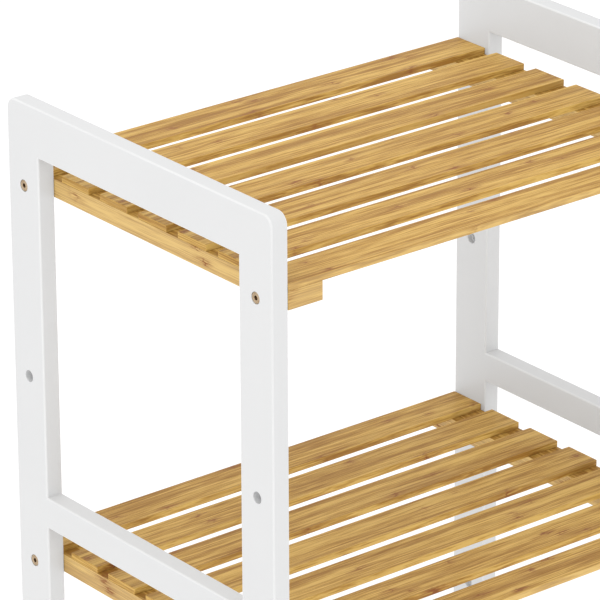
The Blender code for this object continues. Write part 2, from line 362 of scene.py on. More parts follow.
@dataclass(frozen=True)
class SatinPaint:
    """Sprayed satin paint: near white, a faint orange peel, and a painted highlight on the rounded
    arrises.
    """

    colour: Colour = (0.712, 0.714, 0.716)
    shade: Colour = (0.696, 0.700, 0.704)
    # The painted highlight colour of the rounded arrises.
    arris: Colour = (0.790, 0.792, 0.792)
    gloss: tuple[float, float] = (0.34, 0.42)
    peel_scale: float = 420.0
    cloud_scale: float = 9.0

    def material(self) -> bpy.types.Material:
        """Build the paint and return it."""
        sheet = ShaderSheet(Slot.PAINT.value)
        place = sheet.place()
        cloud = sheet.noise(place, self.cloud_scale, 3.0, 0.55)
        peel = sheet.noise(place, self.peel_scale, 2.0, 0.5)
        arris = sheet.layer(ARRIS_LAYER)
        clouded = sheet.remap(cloud, (0.35, 0.75), (0.0, 0.55), smooth=True)
        colour = sheet.mix(clouded, self.colour, self.shade)
        # Painted highlight: the rounded arrises are brightened towards the highlight colour, patchy with
        # the cloud.
        arris_highlight = sheet.times(arris, sheet.remap(cloud, (0.3, 0.6), (0.55, 1.0)))
        colour = sheet.mix(arris_highlight, colour, self.arris)
        sheet.dress(colour, sheet.remap(cloud, (0.3, 0.7), self.gloss))
        sheet.set(Specular_IOR_Level=0.45)
        sheet.bump(peel, 0.12, 0.0002)
        return sheet.material


@dataclass(frozen=True)
class LacqueredBamboo:
    """Laminated bamboo under clear satin lacquer: strips, fibres, brown streaks and knuckles.

    The pattern follows the grain layer, whose parts are metres along, across and through the fibres. What
    light it throws on its neighbours is nearly neutral, so that the white paint beside it stays white.
    """

    pale: Colour = (0.73, 0.465, 0.120)
    honey: Colour = (0.555, 0.312, 0.062)
    brown: Colour = (0.345, 0.160, 0.022)
    ash: Colour = (0.55, 0.335, 0.095)
    cream: Colour = (0.78, 0.57, 0.27)
    knuckle: Colour = (0.27, 0.085, 0.012)
    strip_width: float = 0.0089
    bend: float = 0.0045
    glue_line: float = 0.028
    # side_paleness and side_cream paint the marked side faces paler and creamier: partly side grain,
    # partly painted light.
    side_paleness: float = 0.10
    side_cream: float = 0.38
    knuckle_spacing: float = 0.16
    knuckle_length: float = 0.010
    bounce: Colour = (0.66, 0.65, 0.63)
    neutral_bounce: float = 0.85
    level_shift: float = 2.40
    contrast: tuple[float, float] = (1.25, 1.5)
    gloss: tuple[float, float] = (0.42, 0.56)

    def material(self) -> bpy.types.Material:
        """Build the bamboo and return it."""
        sheet = ShaderSheet(Slot.BAMBOO.value)
        grain = sheet.layer(GRAIN_LAYER, "Vector")
        along, across, depth = sheet.split(grain)
        waver = sheet.figure(grain, (7.0, 30.0, 30.0), 1.0)
        bend = sheet.times(sheet.minus(waver, 0.5), self.bend)
        wavy = sheet.join(along, sheet.plus(across, bend), depth)
        strip = sheet.math("DIVIDE", sheet.plus(across, sheet.times(bend, 0.12)),
                           self.strip_width)
        strip_number = sheet.math("FLOOR", strip)
        strip_place = sheet.math("FRACT", strip)
        tone, phase, lean = sheet.random(sheet.join(strip_number, 3.0, 7.0))
        broad = sheet.figure(wavy, (3.2, 95.0, 60.0), 2.0)
        band = sheet.figure(wavy, (8.0, 270.0, 120.0), 3.0, 0.6)
        streak = sheet.figure(wavy, (21.0, 980.0, 320.0), 3.0, 0.68)
        fibre = sheet.figure(wavy, (42.0, 2600.0, 900.0), 2.0)
        skin = sheet.times(sheet.minus(strip_place, 0.5), sheet.minus(lean, 0.5))
        # The side layer paints side faces paler and creamier, partly side grain and partly painted light;
        # below 0 it paints them browner, as painted shade.
        side = sheet.layer(SIDE_LAYER)
        level = sheet.sum((broad, 1.0), (band, 1.3), (streak, 2.1), (fibre, 1.15), (tone, 0.30),
                          (skin, 0.6), (side, -self.side_paleness))
        level = sheet.minus(level, self.level_shift)
        contrast = sheet.remap(side, (0.0, 1.0), self.contrast)
        level = sheet.plus(sheet.times(sheet.minus(level, 0.5), contrast), 0.5)
        colour = self.ground(sheet, level)
        dusty = sheet.figure(wavy, (5.0, 160.0, 90.0), 3.0, 0.6)
        colour = sheet.mix(sheet.remap(dusty, (0.55, 0.72), (0.0, 0.5), smooth=True), colour, self.ash)
        vein = sheet.figure(wavy, (6.5, 420.0, 140.0), 3.0, 0.65)
        veined = sheet.remap(vein, (0.61, 0.74), (0.0, 0.7), smooth=True)
        colour = sheet.mix(veined, colour, self.brown)
        edge = sheet.math("ABSOLUTE", sheet.minus(strip_place, 0.5))
        colour = sheet.mix(sheet.times(side, self.side_cream), colour, self.cream)
        seam = sheet.remap(edge, (0.5 - self.glue_line, 0.5), (0.0, 0.55), smooth=True)
        colour = sheet.mix(seam, colour, self.brown)
        scar, dent = self.knuckles(sheet, wavy, strip_place, phase)
        colour = sheet.mix(scar, colour, self.knuckle)
        # Painted highlight: the rounded arrises are mixed a quarter of the way to the pale colour.
        arris = sheet.layer(ARRIS_LAYER)
        colour = sheet.mix(sheet.times(arris, 0.25), colour, self.pale)
        bounced = sheet.nodes.new("ShaderNodeLightPath").outputs["Is Diffuse Ray"]
        colour = sheet.mix(sheet.times(bounced, self.neutral_bounce), colour, self.bounce)
        sheet.dress(colour, sheet.remap(streak, (0.3, 0.7), self.gloss))
        sheet.set(Specular_IOR_Level=0.26, Coat_Weight=0.05, Coat_Roughness=0.3)
        sheet.bump(sheet.sum((fibre, 0.45), (streak, 0.4), (dent, 0.5)), 0.2, 0.00025)
        return sheet.material

    def ground(self, sheet: ShaderSheet, level: Socket) -> Socket:
        """Return the ground colour for a level that runs from pale at 0 to brown at 1."""
        ramp = sheet.nodes.new("ShaderNodeValToRGB")
        stops = ((0.08, self.pale), (0.48, self.honey), (0.95, self.brown))
        elements = ramp.color_ramp.elements
        while len(elements) < len(stops):
            elements.new(0.5)
        for element, (position, colour) in zip(elements, stops):
            element.position = position
            element.color = (*colour, 1.0)
        sheet.links.new(level, ramp.inputs[0])
        return ramp.outputs[0]

    def knuckles(self, sheet: ShaderSheet, wavy: Socket, strip_place: Socket,
                 phase: Socket) -> tuple[Socket, Socket]:
        """Return how dark and how dented the bamboo is near its knuckles.

        Args:
            sheet: the material's sheet.
            wavy: the bent grain coordinates.
            strip_place: the place across a strip, from 0 to 1.
            phase: the strip's random number, which places its knuckles.

        Returns:
            The scar's darkness and the dent's depth.
        """
        along = sheet.split(wavy)[0]
        ripple = sheet.figure(wavy, (70.0, 380.0, 200.0), 2.0, 0.6)
        ruff = sheet.figure(wavy, (75.0, 1100.0, 400.0), 2.0, 0.6)
        shifted = sheet.plus(along, sheet.times(sheet.minus(ripple, 0.5), 0.020))
        turns = sheet.plus(sheet.math("DIVIDE", shifted, self.knuckle_spacing),
                           sheet.times(phase, 5.3))
        distance = sheet.times(sheet.minus(sheet.math("FRACT", turns), 0.5),
                              self.knuckle_spacing)
        keep, width, offset = sheet.random(sheet.join(sheet.math("FLOOR", turns), phase, 11.0))
        middle = sheet.remap(offset, (0.0, 1.0), (0.25, 0.75))
        across = sheet.hump(sheet.minus(strip_place, middle), 0.36)
        flare = sheet.hump(distance, self.knuckle_length)
        core = sheet.hump(distance, self.knuckle_length * 0.13)
        present = sheet.remap(keep, (0.28, 0.40))
        mask = sheet.times(sheet.times(across, present),
                          sheet.remap(width, (0.0, 1.0), (0.75, 1.2)))
        combed = sheet.remap(ruff, (0.40, 0.60), (0.05, 1.0), smooth=True)
        scar = sheet.plus(sheet.times(sheet.times(flare, combed), 0.95),
                          sheet.times(core, 0.55))
        return sheet.times(mask, scar), sheet.times(mask, core)


@dataclass(frozen=True)
class BareBeech:
    """Bare beech: pale pink brown with short dark flecks along the grain."""

    pale: Colour = (0.66, 0.48, 0.30)
    dark: Colour = (0.50, 0.33, 0.19)
    gloss: tuple[float, float] = (0.55, 0.7)

    def material(self) -> bpy.types.Material:
        """Build the beech and return it."""
        sheet = ShaderSheet(Slot.BEECH.value)
        place = sheet.place()
        figure = sheet.figure(place, (900.0, 45.0, 900.0), 3.0, 0.6)
        fleck = sheet.figure(place, (1900.0, 230.0, 1900.0), 1.0)
        flecked = sheet.math("MAXIMUM", sheet.remap(figure, (0.35, 0.7)),
                             sheet.remap(fleck, (0.66, 0.72)))
        colour = sheet.mix(flecked, self.pale, self.dark)
        sheet.dress(colour, sheet.remap(figure, (0.3, 0.7), self.gloss))
        sheet.bump(figure, 0.2, 0.0002)
        return sheet.material


@dataclass(frozen=True)
class TurnedMetal:
    """Turned steel, bronzed or zinc plated: bright where it rubs and darker in blotches."""

    slot: Slot
    body: Colour
    rubbed: Colour
    tarnish: Colour
    gloss: tuple[float, float] = (0.28, 0.46)

    def material(self) -> bpy.types.Material:
        """Build the metal and return it."""
        sheet = ShaderSheet(self.slot.value)
        place = sheet.place()
        blotch = sheet.noise(place, 240.0, 3.0, 0.6)
        scratch = sheet.figure(place, (500.0, 5200.0, 5200.0), 2.0)
        arris = sheet.layer(ARRIS_LAYER)
        blotched = sheet.remap(blotch, (0.42, 0.72), (0.0, 0.75), smooth=True)
        colour = sheet.mix(blotched, self.body, self.tarnish)
        colour = sheet.mix(sheet.times(arris, 0.7), colour, self.rubbed)
        sheet.dress(colour, sheet.remap(scratch, (0.3, 0.7), self.gloss))
        sheet.set(Metallic=1.0)
        sheet.bump(scratch, 0.15, 0.00005)
        return sheet.material


@dataclass
class Workshop:
    """The finishes, made once and handed to every sub-assembly."""

    finishes: dict[Slot, bpy.types.Material] = field(default_factory=dict)
    sharp_angle: float = math.radians(38)

    def prepare(self) -> None:
        """Build every finish."""
        self.finishes[Slot.PAINT] = SatinPaint().material()
        self.finishes[Slot.BAMBOO] = LacqueredBamboo().material()
        self.finishes[Slot.BEECH] = BareBeech().material()
        self.finishes[Slot.BRONZE] = TurnedMetal(
            Slot.BRONZE, (0.46, 0.345, 0.22), (0.62, 0.49, 0.34), (0.28, 0.165, 0.085)).material()
        self.finishes[Slot.ZINC] = TurnedMetal(
            Slot.ZINC, (0.58, 0.58, 0.56), (0.74, 0.74, 0.72), (0.42, 0.42, 0.40)).material()

    def deliver(self, mesh: Mesh, slot: Slot, node: str, word: str, drilled: bool = False) -> None:
        """Dress a mesh, put it in the scene and let it stand for a CAD node.

        Args:
            mesh: the shaped mesh, with its place in it.
            slot: the record's material slot.
            node: the CAD node that it stands for.
            word: what the piece's name adds to the node's.
            drilled: whether it has holes or turned corners about X, whose walls get neither the painted
                arris highlight nor the rubbed edge.
        """
        record_arrises(mesh, drilled)
        name = f"{node}_{word}"
        mesh.name = name
        mesh.materials.clear()
        mesh.materials.append(self.finishes[slot])
        mesh.shade_smooth()
        mesh.set_sharp_from_angle(angle=self.sharp_angle)
        piece = put(name, mesh)
        weighted = piece.modifiers.new("flat faces stay flat", "WEIGHTED_NORMAL")
        weighted.keep_sharp = True
        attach(piece, BODY)
        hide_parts(node)
        LOG.info("%s stands for %s", name, node)


# ---------- mesh tools
def to_mesh(bm: Form) -> Mesh:
    """Merge a bmesh's doubles, turn its faces outwards and return it as a mesh."""
    bmesh.ops.remove_doubles(bm, verts=bm.verts, dist=MERGE_DISTANCE)
    bmesh.ops.recalc_face_normals(bm, faces=bm.faces)
    mesh = bpy.data.meshes.new("work")
    bm.to_mesh(mesh)
    bm.free()
    return mesh


def block(extent: Extent) -> Form:
    """Return a sharp block that fills a box."""
    bm = bmesh.new()
    bmesh.ops.create_cube(bm, size=1.0)
    bmesh.ops.scale(bm, vec=extent.size, verts=bm.verts)
    bmesh.ops.translate(bm, vec=extent.centre, verts=bm.verts)
    return bm


def round_edges(bm: Form, edges: list[bmesh.types.BMEdge], radius: float, segments: int) -> None:
    """Round some of a bmesh's edges to a radius, with some facets each."""
    bmesh.ops.bevel(bm, geom=edges, offset=radius, segments=segments, profile=0.5,
                    affect="EDGES", material=-1)


def eased_block(extent: Extent, easing: float, segments: int = 3) -> Form:
    """Return a block that fills a box, with every arris rounded.

    Args:
        extent: the box.
        easing: the arris radius.
        segments: the facets round an arris.

    Returns:
        The block as a bmesh.
    """
    bm = block(extent)
    round_edges(bm, bm.edges[:], easing, segments)
    return bm


def turned(profile: list[tuple[float, float]], segments: int) -> Form:
    """Return a shape turned round the X axis from an open profile that starts and ends on the axis.

    Args:
        profile: pairs of a distance along X and a radius.
        segments: the facets round the axis.

    Returns:
        The shape as a bmesh.
    """
    bm = bmesh.new()
    points = [bm.verts.new((x, radius, 0.0)) for x, radius in profile]
    edges = [bm.edges.new(pair) for pair in zip(points, points[1:])]
    bmesh.ops.spin(bm, geom=points + edges, cent=(0, 0, 0), axis=(1, 0, 0), angle=2 * math.pi,
                   steps=segments, use_merge=True)
    bmesh.ops.remove_doubles(bm, verts=bm.verts, dist=MERGE_DISTANCE)
    bmesh.ops.recalc_face_normals(bm, faces=bm.faces)
    return bm


def threaded(start: float, end: float, crest: float, depth: float, pitch: float,
             segments: int) -> Form:
    """Return a screw thread along X with square ends.

    Args:
        start: where the thread starts along X.
        end: where it ends.
        crest: the radius of its crest.
        depth: how much lower its root is.
        pitch: the distance between two crests.
        segments: the facets in one turn.

    Returns:
        The thread as a closed bmesh.
    """
    bm = bmesh.new()
    low = start - 1.5 * pitch
    turns = math.ceil((end - start) / pitch) + 3
    flat = pitch / 8
    root = crest - depth
    outline = [(0.0, root), (pitch / 2 - flat, crest), (pitch / 2 + flat, crest), (pitch, root)]
    points = [bm.verts.new((low + x, radius, 0.0)) for x, radius in outline]
    edges = [bm.edges.new(pair) for pair in zip(points, points[1:])]
    step = Vector((pitch / segments, 0.0, 0.0))
    bmesh.ops.spin(bm, geom=points + edges, cent=(0, 0, 0), axis=(1, 0, 0), dvec=step,
                   angle=2 * math.pi * turns, steps=segments * turns)
    bmesh.ops.remove_doubles(bm, verts=bm.verts, dist=MERGE_DISTANCE)
    trim(bm, 0, start, end)
    bmesh.ops.recalc_face_normals(bm, faces=bm.faces)
    return bm


def trim(bm: Form, axis: int, low: float, high: float) -> None:
    """Cut a bmesh off square at two planes across one axis, and close the cuts.

    Args:
        bm: the bmesh to cut.
        axis: 0, 1 or 2 for X, Y or Z.
        low: where it is cut below.
        high: where it is cut above.
    """
    line = Matrix.Identity(3)[axis]
    for limit, outward in ((low, -1.0), (high, 1.0)):
        bmesh.ops.bisect_plane(bm, geom=bm.verts[:] + bm.edges[:] + bm.faces[:], dist=1e-7,
                               plane_co=line * limit, plane_no=line * outward, clear_outer=True)
        open_edges = [edge for edge in bm.edges if edge.is_boundary]
        if open_edges:
            bmesh.ops.holes_fill(bm, edges=open_edges, sides=0)


def combined(base: Form, tools: list[Form], operation: str) -> Mesh:
    """Return the exact Boolean of a closed shape and several others.

    Args:
        base: the shape that is worked on.
        tools: the shapes that are taken from it or added to it.
        operation: DIFFERENCE or UNION.

    Returns:
        The result as a mesh.
    """
    work = put("work", to_mesh(base))
    helpers = []
    for tool in tools:
        helper = put("tool", to_mesh(tool))
        modifier = work.modifiers.new("cut", "BOOLEAN")
        modifier.operation = operation
        modifier.solver = "EXACT"
        modifier.object = helper
        helpers.append(helper)
    graph = bpy.context.evaluated_depsgraph_get()
    mesh = bpy.data.meshes.new_from_object(work.evaluated_get(graph))
    for item in [work, *helpers]:
        old = item.data
        bpy.data.objects.remove(item, do_unlink=True)
        bpy.data.meshes.remove(old)
    return mesh


def reopened(mesh: Mesh) -> Form:
    """Return a mesh as a bmesh, and remove the mesh."""
    bm = bmesh.new()
    bm.from_mesh(mesh)
    bpy.data.meshes.remove(mesh)
    return bm


def moved(bm: Form, place: Vector, turn: Euler = Euler((0, 0, 0))) -> Form:
    """Turn a bmesh, then move it, and return it."""
    bm.transform(Matrix.Translation(place) @ turn.to_matrix().to_4x4())
    return bm


def record_grain(mesh: Mesh, fibre: Fibre, seed: int, side_grain: float,
                 wide_face_shade: float = 0.0) -> None:
    """Store each face corner's place along, across and through the fibres, different for each piece.

    On an end face the fibres run crosswise, as the strips do where they are cut through. Faces other than
    the wide ones get the side value, which paints them paler: partly side grain, partly painted light.

    Args:
        mesh: the finished mesh.
        fibre: how the fibres run.
        seed: the piece's number.
        side_grain: how much paler the side faces are, partly as side grain and partly as painted light.
        wide_face_shade: how much paler the wide faces are. Below 0 they are browner, as painted shade.
    """
    layer = mesh.attributes.new(GRAIN_LAYER, "FLOAT_VECTOR", "CORNER")
    sides = mesh.attributes.new(SIDE_LAYER, "FLOAT", "FACE")
    shift = Vector((0.713 * seed, 0.1931 * seed + 0.0037 * (seed % 5), 0.317 * seed))
    lengthwise = fibre.value
    crosswise = (1 - lengthwise[0], 2, lengthwise[0])
    for face in mesh.polygons:
        order = crosswise if abs(face.normal[lengthwise[0]]) > 0.9 else lengthwise
        sides.data[face.index].value = wide_face_shade if abs(face.normal.z) > 0.9 else side_grain
        for corner in face.loop_indices:
            place = mesh.vertices[mesh.loops[corner].vertex_index].co
            layer.data[corner].vector = Vector([place[axis] for axis in order]) + shift


def record_arrises(mesh: Mesh, drilled: bool) -> None:
    """Store at each face corner 1 on a rounded arris and 0 where it runs out into a flat face.

    Args:
        mesh: the finished mesh.
        drilled: whether the walls of holes along X, and corners turned about X, are left out.
    """
    flat, beside, level = 0.985, 0.9, 0.1
    # This layer masks the painted arris highlights of the paint and bamboo, and the rubbed edges of the
    # metal.
    layer = mesh.attributes.new(ARRIS_LAYER, "FLOAT", "CORNER")
    flats = {vertex.index: [] for vertex in mesh.vertices}
    faces = [(face, face.normal.copy()) for face in mesh.polygons]
    for face, normal in faces:
        if max(abs(part) for part in normal) > flat:
            for vertex in face.vertices:
                flats[vertex].append(normal)
    for face, normal in faces:
        rounded = max(abs(part) for part in normal) <= flat and not (drilled and abs(normal.x) < level)
        for corner in face.loop_indices:
            vertex = mesh.loops[corner].vertex_index
            runs_out = any(normal.dot(other) > beside for other in flats[vertex])
            layer.data[corner].value = 1.0 if rounded and not runs_out else 0.0


# ---------- sub-assemblies
@dataclass
class SideFrame:
    """One painted ladder frame: two legs with rails between them, flush and filled at the joints."""

    side: Side
    shop: Workshop
    corner_radius: float = 0.010
    corner_segments: int = 12
    easing: float = 0.0015
    easing_segments: int = 4
    bore_radius: float = 0.0048
    shank_radius: float = 0.0033
    outer_bore: float = 0.0066
    inner_bore: float = 0.004
    lip: float = 0.00025
    bore_segments: int = 48
    hole_rows: int = 4

    def extent(self, part: str) -> Extent:
        """Return the box of one of the frame's nodes."""
        return Extent.of(f"{self.side}_{part}")

    def blank(self) -> Form:
        """Return the whole frame as one board with its windows cut and its arrises rounded."""
        front, rear = self.extent("front_leg"), self.extent("rear_leg")
        lower, top = self.extent("lower_rail"), self.extent("top_rail")
        across = [front.low.y, front.high.y, rear.low.y, rear.high.y]
        up = [front.low.z, lower.low.z, lower.high.z, top.low.z, front.high.z]
        # A grid of three columns by four rows, from -1 to 1 each way, is drawn out to these lines.
        bm = bmesh.new()
        bmesh.ops.create_grid(bm, x_segments=3, y_segments=4, size=1.0)
        windows = []
        for face in bm.faces:
            middle = face.calc_center_median()
            row = round((middle.y + 1.0) * 2 - 0.5)
            if abs(middle.x) < 0.1 and row in (0, 2):
                windows.append(face)
        bmesh.ops.delete(bm, geom=windows, context="FACES")
        for vert in bm.verts:
            column = round((vert.co.x + 1.0) * 1.5)
            row = round((vert.co.y + 1.0) * 2)
            vert.co = (front.low.x, across[column], up[row])
        wall = bmesh.ops.extrude_face_region(bm, geom=bm.faces[:])
        far = [item for item in wall["geom"] if isinstance(item, bmesh.types.BMVert)]
        bmesh.ops.translate(bm, vec=(front.size.x, 0, 0), verts=far)
        bmesh.ops.recalc_face_normals(bm, faces=bm.faces)
        self.round_corners(bm, across, up[-1])
        return bm

    def round_corners(self, bm: Form, across: list[float], top: float) -> None:
        """Round the two upper corners, then ease every arris round the board and its windows.

        Args:
            bm: the board.
            across: its vertical lines, front to rear.
            top: its upper edge.
        """
        near, steep = 1e-5, math.radians(60)
        corners = [
            edge for edge in bm.edges
            if all(top - vert.co.z < near for vert in edge.verts)
            and all(not across[0] + near < vert.co.y < across[-1] - near for vert in edge.verts)
        ]
        round_edges(bm, corners, self.corner_radius, self.corner_segments)
        rims = [
            edge for edge in bm.edges
            if abs(edge.verts[0].co.x - edge.verts[1].co.x) < near
            and edge.calc_face_angle(0.0) > steep
        ]
        round_edges(bm, rims, self.easing, self.easing_segments)

    def bore(self, place: Vector) -> Form:
        """Return the cutter of one stepped bolt hole with lightly broken edges.

        Args:
            place: the hole's centre on the leg's outer face.

        Returns:
            The cutter as a bmesh.
        """
        thickness = self.extent("front_leg").size.x
        floor = thickness - self.inner_bore
        mouth = self.bore_radius + self.lip + OVERCUT
        profile = [
            (-OVERCUT, 0.0),
            (-OVERCUT, mouth),
            (self.lip, self.bore_radius),
            (self.outer_bore, self.bore_radius),
            (self.outer_bore, self.shank_radius),
            (floor, self.shank_radius),
            (floor, self.bore_radius),
            (thickness - self.lip, self.bore_radius),
            (thickness + OVERCUT, mouth),
            (thickness + OVERCUT, 0.0),
        ]
        return moved(turned(profile, self.bore_segments), place, self.side.inwards)

    def holes(self, end: End) -> list[Vector]:
        """Return the places of a leg's evenly spaced holes, from the bolts in the first and third."""
        seat, shelf = (Extent.of(f"{level}_{self.side}_{end}_bolt").centre for level in Level)
        outer_x = self.side.outer_x(self.extent(f"{end}_leg"))
        spacing = (seat.z - shelf.z) / 2
        return [Vector((outer_x, seat.y, seat.z - row * spacing)) for row in range(self.hole_rows)]

    def build_leg(self, end: End) -> None:
        """Build one leg with its bolt holes."""
        extent = self.extent(f"{end}_leg")
        bm = self.blank()
        inner = extent.high.y if end is End.FRONT else extent.low.y
        outer = self.easing * end.value + (extent.low.y if end is End.FRONT else extent.high.y)
        trim(bm, 1, *sorted((outer, inner)))
        mesh = combined(bm, [self.bore(place) for place in self.holes(end)], "DIFFERENCE")
        self.shop.deliver(mesh, Slot.PAINT, f"{self.side}_{end}_leg", "painted", drilled=True)

    def build_rail(self, rail: str) -> None:
        """Build one rail, which meets both legs without a gap."""
        extent = self.extent(f"{rail}_rail")
        low, high = extent.low.copy(), extent.high.copy()
        low.y = self.extent("front_leg").high.y
        high.y = self.extent("rear_leg").low.y
        bm = block(Extent(low, high))
        long_edges = [edge for edge in bm.edges if edge.calc_length() > (high.y - low.y) / 2]
        round_edges(bm, long_edges, self.easing, self.easing_segments)
        self.shop.deliver(to_mesh(bm), Slot.PAINT, f"{self.side}_{rail}_rail", "painted")

    def build(self) -> None:
        """Build the frame's four pieces."""
        for end in End:
            self.build_leg(end)
        for rail in ("top", "lower"):
            self.build_rail(rail)


@dataclass
class DowelSet:
    """The fluted beech dowels inside one side frame's joints."""

    side: Side
    shop: Workshop
    flutes: int = 12
    flute_depth: float = 0.0002
    chamfer: float = 0.0006

    def fluted(self, radius: float, length: float) -> Form:
        """Return a dowel along Y, centred on the origin.

        Args:
            radius: its radius.
            length: its length.

        Returns:
            The dowel as a bmesh.
        """
        bm = bmesh.new()
        per_flute = 4
        bmesh.ops.create_circle(bm, cap_ends=True, radius=radius, segments=self.flutes * per_flute)
        around = sorted(bm.verts, key=lambda vert: math.atan2(vert.co.y, vert.co.x))
        for vert in around[::per_flute]:
            vert.co *= 1.0 - self.flute_depth / radius
        tip = 1.0 - self.chamfer / radius
        bmesh.ops.scale(bm, vec=(tip, tip, 1.0), verts=bm.verts)
        steps = ((self.chamfer, 1.0 / tip), (length - 2 * self.chamfer, 1.0), (self.chamfer, tip))
        face = bm.faces[:][0]
        for number, (rise, scale) in enumerate(steps):
            grown = bmesh.ops.extrude_face_region(bm, geom=[face])
            if number > 0:
                bmesh.ops.delete(bm, geom=[face], context="FACES_ONLY")
            face = next(item for item in grown["geom"] if isinstance(item, bmesh.types.BMFace))
            bmesh.ops.translate(bm, vec=(0, 0, rise), verts=face.verts)
            bmesh.ops.scale(bm, vec=(scale, scale, 1.0), verts=face.verts)
        bmesh.ops.translate(bm, vec=(0, 0, -length / 2), verts=bm.verts)
        return moved(bm, Vector((0, 0, 0)), Euler((math.pi / 2, 0, 0)))

    def build(self) -> None:
        """Build the side's eight dowels."""
        for rail in ("top", "lower"):
            for end in End:
                for number in (1, 2):
                    node = f"{self.side}_{rail}_{end}_dowel_{number}"
                    extent = Extent.of(node)
                    bm = moved(self.fluted(extent.size.z / 2, extent.size.y), extent.centre)
                    self.shop.deliver(to_mesh(bm), Slot.BEECH, node, "fluted")


@dataclass
class Tier:
    """One tier: seven bamboo slats glued on two bearers."""

    level: Level
    shop: Workshop
    slat_count: int = 7
    easing: float = 0.00045
    bearer_easing: float = 0.00025
    insert_clearance: float = 0.0002
    # How pale the front slat's side faces are painted: partly side grain, partly painted light on its lit
    # front.
    front_side_grain: float = 0.8
    bore_segments: int = 40
    snug: float = 0.00004

    def seed(self, number: int) -> int:
        """Return a number for a piece's grain that no other piece has."""
        return number + (0 if self.level is Level.SEAT else 20)

    def frame_gap(self) -> float:
        """Return the gap that the CAD model keeps between a slat's end and the frame."""
        return Extent.of(f"{self.level}_slat_1").low.x - Extent.of("left_front_leg").high.x

    def build_slat(self, number: int) -> None:
        """Build one slat, drawn out to meet both side frames."""
        node = f"{self.level}_slat_{number}"
        extent = Extent.of(node)
        reach = Vector((self.frame_gap() - self.snug, 0, 0))
        bm = eased_block(Extent(extent.low - reach, extent.high + reach), self.easing)
        mesh = to_mesh(bm)
        # Painted light and shade: only the front slat's side faces are painted pale, as lit faces; the
        # inner slats' sides, in the gaps, stay darker as painted shade.
        side_grain = self.front_side_grain if number == 1 else 0.0
        record_grain(mesh, Fibre.ALONG_X, self.seed(number), side_grain)
        self.shop.deliver(mesh, Slot.BAMBOO, node, "bamboo")

    def build_bearer(self, side: Side) -> None:
        """Build one bearer, glued up to the slats, with its two insert holes."""
        node = f"{self.level}_{side}_bearer"
        extent = Extent.of(node)
        slat_bottom = Extent.of(f"{self.level}_slat_1").low.z
        low, high = extent.low.copy(), extent.high.copy()
        high.z = slat_bottom - self.snug
        reach = self.frame_gap() - self.snug
        if side is Side.LEFT:
            low.x -= reach
        else:
            high.x += reach
        face_x = side.outer_x(Extent(low, high))
        bores = []
        for end in End:
            insert = Extent.of(f"{self.level}_{side}_{end}_insert")
            depth = abs(side.inner_x(insert) - face_x) + OVERCUT
            radius = insert.size.y / 2 + self.insert_clearance
            profile = [(-OVERCUT, 0.0), (-OVERCUT, radius), (depth, radius), (depth, 0.0)]
            place = Vector((face_x, insert.centre.y, insert.centre.z))
            bores.append(moved(turned(profile, self.bore_segments), place, side.inwards))
        mesh = combined(eased_block(Extent(low, high), self.bearer_easing), bores, "DIFFERENCE")
        # Painted shade: the bearers' upper faces, seen in the gaps between slats, and their undersides
        # are painted browner; their sides are painted paler, partly side grain and partly painted light.
        record_grain(mesh, Fibre.ALONG_Y, self.seed(10 + side.value), side_grain=1.0, wide_face_shade=-2.0)
        self.shop.deliver(mesh, Slot.BAMBOO, node, "bamboo")

    def build(self) -> None:
        """Build the tier's slats and bearers."""
        for number in range(1, self.slat_count + 1):
            self.build_slat(number)
        for side in Side:
            self.build_bearer(side)


